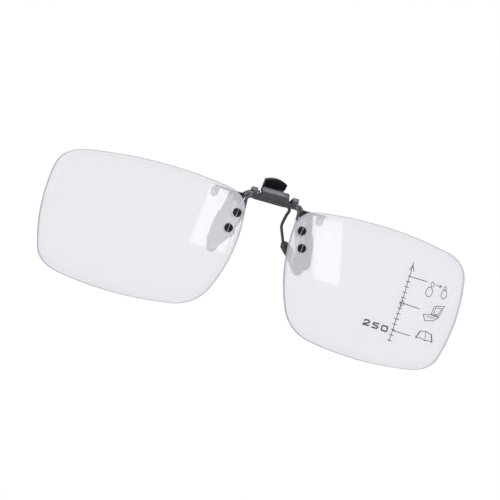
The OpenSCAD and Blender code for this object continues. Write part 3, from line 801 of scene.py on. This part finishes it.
class LENSES_OT_print(bpy.types.Operator):
    """Prints the scale, its number and its three plain signs on the right lens"""

    bl_idname = "clip_lenses.lens_print"
    bl_label = "Lens print"

    def execute(self, context):
        ink = context.scene.lens_print
        curve = context.scene.lens_form.curve
        bm = bmesh.new()
        for points in ((SCALE_TOP, SCALE_END), *LEADERS, ARROW):
            ribbon(bm, finer(points), ink.line, curve)
        thin, heavy = pictograms()
        for points in thin:
            ribbon(bm, finer(points), ink.line * THIN, curve)
        for points in heavy:
            ribbon(bm, finer(points), ink.stroke * HEAVY, curve)
        ribbon(bm, DIAMOND, ink.line, curve)
        for digit, (x, z) in NUMBER:
            shape = [(x + a * DIGIT_SIZE[0], z + b * DIGIT_SIZE[1]) for a, b in DIGITS[digit]]
            ribbon(bm, shape, ink.stroke, curve)
        bmesh.ops.recalc_face_normals(bm, faces=bm.faces)
        finished("print_scale_and_signs", from_bmesh(bm), FLIP, [],
                 ["print_ink"])
        tick = bmesh.new()
        bmesh.ops.create_cube(tick, size=1)
        bmesh.ops.scale(tick, vec=Vector((2 * TICK_HALF, TICK_DEPTH, ink.line)) * MM,
                        verts=tick.verts)
        places = []
        down = (SCALE_END - SCALE_TOP).normalized()
        for k in range(ink.ticks):
            p = FIRST_TICK + down * ink.pitch * k
            slope = math.asin((p.x - POLE[0]) / curve)
            places.append((at(p.x, face_y(p.x, p.y, curve, curve), p.y), (0, 0, slope)))
        finished("print_ticks", stamped(from_bmesh(tick), places, "print_ink"), FLIP,
                 [], ["print_ink"])
        return {"FINISHED"}


# ---------------------------------------------------------------- metal


class LENSES_OT_sheet(bpy.types.Operator):
    """Rounds the edges of the bar, the clip's saddle, the lever, the plates and the paddles"""

    bl_idname = "clip_lenses.sheet_metal"
    bl_label = "Sheet metal"

    def execute(self, context):
        soft = context.scene.lens_metal.softness
        plates = [("flip_bar", FLIP), ("clip_saddle", BASE), ("lever_plate", LEVER)]
        for name, _ in SIDES:
            plates += [(f"mount_plate_{name}", FLIP), (f"front_paddle_{name}", BASE),
                       (f"rear_pad_{name}", LEVER)]
        for node, body in plates:
            # The mount plates take the gunmetal that is painted lighter, a painted reflection
            finish = "gunmetal_painted_light" if node.startswith("mount_plate") else "gunmetal_plate"
            finished(f"{node}_sheet", softened(node, soft), body, [node], [finish])
        return {"FINISHED"}


class LENSES_OT_wires(bpy.types.Operator):
    """Draws the lens arms, base arms, hook wires and rear wires as smooth round wire"""

    bl_idname = "clip_lenses.wires"
    bl_label = "Wires"

    def execute(self, context):
        for name, side in SIDES:
            for part, (ways, r, tip_r, body) in wire_plan().items():
                # The lens arms take the gunmetal with the painted sheen
                finish = "gunmetal_painted_sheen" if part == "lens_arm" else "gunmetal_wire"
                bm = bmesh.new()
                for way in ways:
                    p = [(side * x, y, z) for x, y, z in way]
                    bm.from_mesh(wire_mesh(p, r, tip_r, finish))
                finished(f"{part}_{name}_wire", from_bmesh(bm), body,
                         [f"{part}_{name}"], [finish], angle=60)
        return {"FINISHED"}


def wire_plan():
    """Right-hand control points of each wire, its two radii and its body."""
    mid = (PLATE_FRONT + PLATE_BACK) / 2
    bar_x, bar_y = 7.6, -2.0
    saddle = 7.2
    hook_x, hook_y, hook_z, hook_back = 17.2, -0.6, -1.25, 3.7
    outer = [(bar_x - 0.5, bar_y, -0.5), (bar_x + 0.1, bar_y, -0.5), (bar_x + 0.8, bar_y, -0.7),
             (bar_x + 1.4, bar_y, -1.2), (bar_x + 1.75, bar_y + 0.35, -2),
             (bar_x + 1.95, mid - 0.1, -2.9), (bar_x + 2.05, mid, -3.8), (bar_x + 2.15, mid, -4.5)]
    inner = [(bar_x - 0.5, bar_y, -1.35), (bar_x + 0.1, bar_y, -1.35),
             (bar_x + 0.6, bar_y, -1.7), (bar_x + 0.85, bar_y, -2.4),
             (bar_x + 0.95, bar_y + 0.35, -3.3), (bar_x + 1.05, mid - 0.1, -4.2),
             (bar_x + 1.2, mid, -4.9)]
    return {
        "lens_arm": ([outer, inner], 0.55, 0.3, FLIP),
        "base_arm": ([[(saddle - 0.275, 0, 0), (saddle + 0.1, 0, 0), (saddle + 0.9, -0.2, -0.3),
                       (saddle + 1.7, -0.35, -0.8), (saddle + 2.4, -0.35, -1.5),
                       (saddle + 3, -0.05, -2.5), (saddle + 3.5, 0.05, -3.4)]], 0.5, 0.25, BASE),
        "hook_wire": ([[(saddle + 2.4, -0.35, -1.6), (saddle + 3, hook_y, -1.4),
                        (saddle + 3.7, hook_y, hook_z - 0.2), (saddle + 4.8, hook_y, hook_z - 0.2),
                        (hook_x - 2.7, hook_y, hook_z - 0.1), (hook_x - 0.3, hook_y, hook_z),
                        (hook_x + 0.6, hook_y + 0.9, hook_z + 0.05),
                        (hook_x + 0.4, hook_back - 1.6, hook_z + 0.15),
                        (hook_x + 0.1, hook_back - 0.5, hook_z + 0.3),
                        (hook_x, hook_back, -1.3), (hook_x, hook_back, -2.65),
                        (hook_x, hook_back, -3.2)]], 0.35, 0.35, BASE),
        "rear_wire": ([[(2.8, 3.832, -1.1), (4.8, 3.832, -1.1), (6.3, 3.4, -1.2), (7, 3.4, -2.1),
                        (6.75, 4.4, -3.7), (6.55, 5, -5.2), (6.4, 5.3, -7.2), (7.3, 5.1, -9.8),
                        (8.2, 4.95, -12.2)]], 0.48, 0.42, LEVER),
    }


# The pin, the spring with its coil's steps in a turn, and the lever's top under the spring's leg
PIN_HALF, PIN_R = 7.2, 0.6
SPRING_L, SPRING_TURNS, COIL_R, SPRING_R = 7, 7, 1, 0.2
COIL_STEPS = 28
LEVER_TOP, LEG_GAP = -0.52, 0.02


class LENSES_OT_hinge(bpy.types.Operator):
    """Makes the hinge pin with domed ends, its friction washers and its wound spring"""

    bl_idname = "clip_lenses.hinge"
    bl_label = "Hinge"

    def execute(self, context):
        dome = [(PIN_R, PIN_HALF - 0.2), (PIN_R - 0.05, PIN_HALF - 0.07),
                (PIN_R - 0.18, PIN_HALF), (0, PIN_HALF)]
        pin = lathe([(r, -x) for r, x in reversed(dome)] + dome, 40)
        pin.transform(Matrix.Translation(at(0, 0, 0)) @ Matrix.Rotation(math.pi / 2, 4, "Z"))
        finished("hinge_pin_round", pin, BASE, ["hinge_pin"], ["drawn_steel"])
        finished("friction_washers_round", softened("friction_washers", width=0.05),
                 BASE, ["friction_washers"], ["drawn_steel"])
        leg_z = LEVER_TOP + SPRING_R + LEG_GAP
        steps = SPRING_TURNS * COIL_STEPS
        coil = [(-SPRING_L / 2 + SPRING_L * k / steps,
                 COIL_R * math.sin(2 * math.pi * k / COIL_STEPS),
                 -COIL_R * math.cos(2 * math.pi * k / COIL_STEPS))
                for k in range(steps + 1)]
        path = [(-SPRING_L / 2, SPRING_R - 1.2, -COIL_R), *coil,
                (SPRING_L / 2, 1.5, (leg_z - COIL_R) / 2), (SPRING_L / 2, 3, leg_z),
                (SPRING_L / 2, 3.4, leg_z)]
        wound = wire_mesh(path, SPRING_R, SPRING_R, "drawn_steel", steps=1, sides=12)
        spring = finished("clip_spring_coil", wound, None, ["clip_spring"],
                          ["drawn_steel"], angle=60)
        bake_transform(spring)
        return {"FINISHED"}


# A screw's head as (radius, depth), its shank, and the slot's width, depth and length
SCREW_HEAD = [(0, -0.5), (0.75, -0.5), (1.05, -0.47), (1.24, -0.4), (1.35, -0.28),
              (1.38, -0.14), (1.36, -0.02), (1.3, 0)]
SHANK_R = 0.7
SLOT, SLOT_FLOOR = (0.36, 0.5, 4), 0.25
SCREW_TURNS = (0.15, 0.1, 0.2, 0.05)


class LENSES_OT_screws(bpy.types.Operator):
    """Sets the slotted screws, the clear washers and the sleeves of the lens fixings"""

    bl_idname = "clip_lenses.screws"
    bl_label = "Screws"

    def execute(self, context):
        back = FRONT_Y - WASHER_T
        end = PLATE_BACK - back
        whole = [*SCREW_HEAD, (SHANK_R, 0), (SHANK_R, end), (0, end)]
        slot = bmesh.new()
        bmesh.ops.create_cube(slot, size=1)
        bmesh.ops.scale(slot, vec=Vector(SLOT) * MM, verts=slot.verts)
        middle = Vector((0, -SLOT_FLOOR - SLOT[1] / 2, 0))
        bmesh.ops.translate(slot, vec=middle * MM, verts=slot.verts)
        screw = cut(lathe(whole), [from_bmesh(slot)])
        places = [(at(x, back, z), (0, turn, 0))
                  for (x, z), turn in zip(screw_places(), SCREW_TURNS)]
        screws = stamped(screw, places, "screw_black")
        o = finished("lens_screws_slotted", screws, FLIP, ["lens_screws"],
                     ["screw_black", "drawn_steel"])
        # The slot's floor takes the bright steel: a painted highlight on each dark head
        floor_y = at(0, back - SLOT_FLOOR, 0).y
        for f in o.data.polygons:
            if abs(f.center.y - floor_y) < 0.01 * MM and f.normal.y < -0.9:
                f.material_index = 1
        rings = {
            "front_washers": (WASHER_R, back, FRONT_Y),
            "rear_washers": (WASHER_R, PLATE_FRONT - WASHER_T, PLATE_FRONT),
            "lens_bushes": (1.02, FRONT_Y + 0.05, FRONT_Y + 1.5),
        }
        bore, e = WASHER_BORE, 0.04
        for node, (r, y0, y1) in rings.items():
            ring = lathe([(bore + e, y0), (r - e, y0), (r, y0 + e), (r, y1 - e), (r - e, y1),
                          (bore + e, y1), (bore, y1 - e), (bore, y0 + e)])
            places = [(at(x, 0, z), (0, 0, 0)) for x, z in screw_places()]
            finished(f"{node}_clear", stamped(ring, places, "clear_washer"), FLIP,
                     [node], ["clear_washer"])
        return {"FINISHED"}


# ---------------------------------------------------------------- soft parts and cap


class LENSES_OT_soft(bpy.types.Operator):
    """Makes the soft sleeves of the paddles, the rear pads and the hooks"""

    bl_idname = "clip_lenses.soft_parts"
    bl_label = "Soft parts"

    def execute(self, context):
        for name, _ in SIDES:
            for part, body, width, mat in (
                ("paddle_sleeve", BASE, 0.22, "soft_sleeve_clear"),
                ("rear_sleeve", LEVER, 0.22, "soft_sleeve_clear"),
                ("hook_tip", BASE, 0.45, "soft_tip_clear"),
            ):
                node = f"{part}_{name}"
                finished(f"{node}_soft", softened(node, width, segments=4), body,
                         [node], [mat])
        return {"FINISHED"}


class LENSES_OT_cap(bpy.types.Operator):
    """Moulds the black thumb cap"""

    bl_idname = "clip_lenses.thumb_cap"
    bl_label = "Thumb cap"

    def execute(self, context):
        cap = softened("lever_cap", width=0.3, segments=4, angle=25)
        finished("thumb_cap_moulded", cap, LEVER, ["lever_cap"],
                 ["thumb_cap_black"])
        return {"FINISHED"}


# ---------------------------------------------------------------- studio


def camera():
    """Sets the camera at the photo's angle and returns its place."""
    c = VIEW_RIGHT.cross(VIEW_UP).normalized()
    along = VIEW_RIGHT * math.cos(VIEW_ROLL) + VIEW_UP * math.sin(VIEW_ROLL)
    up = -VIEW_RIGHT * math.sin(VIEW_ROLL) + VIEW_UP * math.cos(VIEW_ROLL)
    centre = PIN * MM + (VIEW_RIGHT * CENTRE_RIGHT + VIEW_UP * CENTRE_UP) * MM
    data = bpy.data.cameras.new("photo_camera")
    data.lens, data.sensor_width = LENS_MM, SENSOR_MM
    distance = PHOTO_WIDTH * LENS_MM / SENSOR_MM
    data.clip_start, data.clip_end = 0.1, 20
    o = linked("photo_camera", data)
    turn = Matrix((along, up, c)).transposed()
    o.matrix_world = Matrix.Translation(centre + c * distance) @ turn.to_4x4()
    bpy.context.scene.camera = o
    return o.matrix_world.translation.copy()


def area_lamp(name, place, width, radiance):
    """A square lamp that looks at the origin."""
    data = bpy.data.lights.new(name, "AREA")
    data.shape, data.size, data.size_y = "RECTANGLE", width, width
    data.energy = radiance * math.pi * width**2
    o = linked(name, data)
    o.location = place
    o.rotation_mode = "QUATERNION"
    o.rotation_quaternion = (-Vector(place)).to_track_quat("-Z", "Y")


def window_card(name, side, corners, eye, curve, strength, distance=0.55):
    """A bright card, placed so that the lens shows it between the given points of its face."""
    points = []
    centre = at(side * POLE[0], FRONT_Y + curve, POLE[1])
    for x, z in corners:
        p = at(side * x, face_y(x, z, curve, curve), z)
        normal = (p - centre).normalized()
        ray = (p - eye).normalized()
        points.append(p + (ray - 2 * ray.dot(normal) * normal) * distance)
    mesh = bpy.data.meshes.new(name)
    mesh.from_pydata(points, [], [tuple(range(len(points)))])
    m, n, link = blank_material(name)
    n.clear()
    out, glow = n.new("ShaderNodeOutputMaterial"), n.new("ShaderNodeEmission")
    glow.inputs["Strength"].default_value = strength
    link(glow.outputs[0], out.inputs["Surface"])
    mesh.materials.append(m)
    o = linked(name, mesh)
    for ray in ("camera", "diffuse", "transmission", "volume_scatter", "shadow"):
        setattr(o, f"visible_{ray}", False)
    return o


def floor(gap):
    """A plain pale floor that only shows from above."""
    z = CAD_BOX[0].z - gap * MM
    bm = bmesh.new()
    bmesh.ops.create_grid(bm, x_segments=1, y_segments=1, size=4)
    bmesh.ops.translate(bm, vec=(0, 0, z), verts=bm.verts)
    mesh = from_bmesh(bm)
    m, n, link = blank_material("pale_floor")
    p = n["Principled BSDF"]
    p.inputs["Base Color"].default_value = (0.9, 0.9, 0.9, 1)
    p.inputs["Roughness"].default_value = 0.8
    p.inputs["Specular IOR Level"].default_value = 0.1
    clear, mix, side = (n.new(f"ShaderNode{k}") for k in
                        ("BsdfTransparent", "MixShader", "NewGeometry"))
    link(side.outputs["Backfacing"], mix.inputs[0])
    link(p.outputs[0], mix.inputs[1])
    link(clear.outputs[0], mix.inputs[2])
    link(mix.outputs[0], n["Material Output"].inputs["Surface"])
    mesh.materials.append(m)
    return linked("floor", mesh)


def white_world(ambient):
    """White where the camera, a mirror or glass sees it, and a plain ambient light elsewhere."""
    w = bpy.data.worlds.new("studio")
    bpy.context.scene.world = w
    w.use_nodes = True
    n, link = w.node_tree.nodes, w.node_tree.links.new
    path = n.new("ShaderNodeLightPath")
    last = path.outputs["Is Camera Ray"]
    for label in ("Is Glossy Ray", "Is Transmission Ray"):
        most = n.new("ShaderNodeMath")
        most.operation = "MAXIMUM"
        link(last, most.inputs[0])
        link(path.outputs[label], most.inputs[1])
        last = most.outputs[0]
    strength = n.new("ShaderNodeMapRange")
    strength.inputs["To Min"].default_value = ambient
    link(last, strength.inputs["Value"])
    back = n["Background"]
    back.inputs["Color"].default_value = (1, 1, 1, 1)
    link(strength.outputs[0], back.inputs["Strength"])


# Where each window's reflection has its corners on the lens, in millimetres from the pin
LEFT_WINDOW = ((20.4, -1), (22.8, -22.8), (9.1, -21), (5, -1))
RIGHT_WINDOW = ((13, 0), (22.3, 0), (27, -22.3), (18.8, -24.8))


class LENSES_OT_studio(bpy.types.Operator):
    """Sets up the camera, the floor, the white surroundings, the lamps and the window cards"""

    bl_idname = "clip_lenses.studio"
    bl_label = "Studio"

    def execute(self, context):
        s = context.scene.lens_studio
        curve = context.scene.lens_form.curve
        context.scene.view_settings.view_transform = "Standard"
        eye = camera()
        white_world(s.ambient)
        area_lamp("front_lamp", place=(-0.9, -1.2, 0.1), width=0.9, radiance=1.5)
        area_lamp("top_lamp", place=(0.25, -0.5, 0.95), width=0.7, radiance=2.7)
        cards = [window_card("window_card_left", -1, LEFT_WINDOW, eye, curve, s.windows),
                 window_card("window_card_right", 1, RIGHT_WINDOW, eye, curve, s.windows)]
        lenses = bpy.data.collections.new("seen_with_windows")
        for name, _ in SIDES:
            lenses.objects.link(bpy.data.objects[f"lens_clear_{name}"])
        for card in cards:
            card.light_linking.receiver_collection = lenses
        floor(s.gap)
        return {"FINISHED"}


# ---------------------------------------------------------------- panel


OPERATORS = (LENSES_OT_lenses, LENSES_OT_print, LENSES_OT_sheet, LENSES_OT_wires,
             LENSES_OT_hinge, LENSES_OT_screws, LENSES_OT_soft, LENSES_OT_cap, LENSES_OT_studio)
SETTINGS = {"lens_form": LensSettings, "lens_print": PrintSettings, "lens_metal": MetalSettings,
            "lens_soft": SoftSettings, "lens_studio": StudioSettings}


class LENSES_PT_panel(bpy.types.Panel):
    """Lists the pieces of the clip-on lenses"""

    bl_label = "Clip-on lenses"
    bl_idname = "LENSES_PT_panel"
    bl_space_type = "VIEW_3D"
    bl_region_type = "UI"
    bl_category = "Lenses"

    def draw(self, context):
        for name, kind in SETTINGS.items():
            box = self.layout.box()
            for prop in kind.__annotations__:
                box.prop(getattr(context.scene, name), prop)
        for op in OPERATORS:
            self.layout.operator(op.bl_idname)


def register():
    for kind in (*SETTINGS.values(), *OPERATORS, LENSES_PT_panel):
        bpy.utils.register_class(kind)
    for name, kind in SETTINGS.items():
        setattr(bpy.types.Scene, name, bpy.props.PointerProperty(type=kind))


def unregister():
    for name in SETTINGS:
        delattr(bpy.types.Scene, name)
    for kind in (LENSES_PT_panel, *OPERATORS, *SETTINGS.values()):
        bpy.utils.unregister_class(kind)


def main():
    register()
    for kind in OPERATORS:
        area, name = kind.bl_idname.split(".")
        getattr(getattr(bpy.ops, area), name)()


if __name__ == "__main__":
    main()
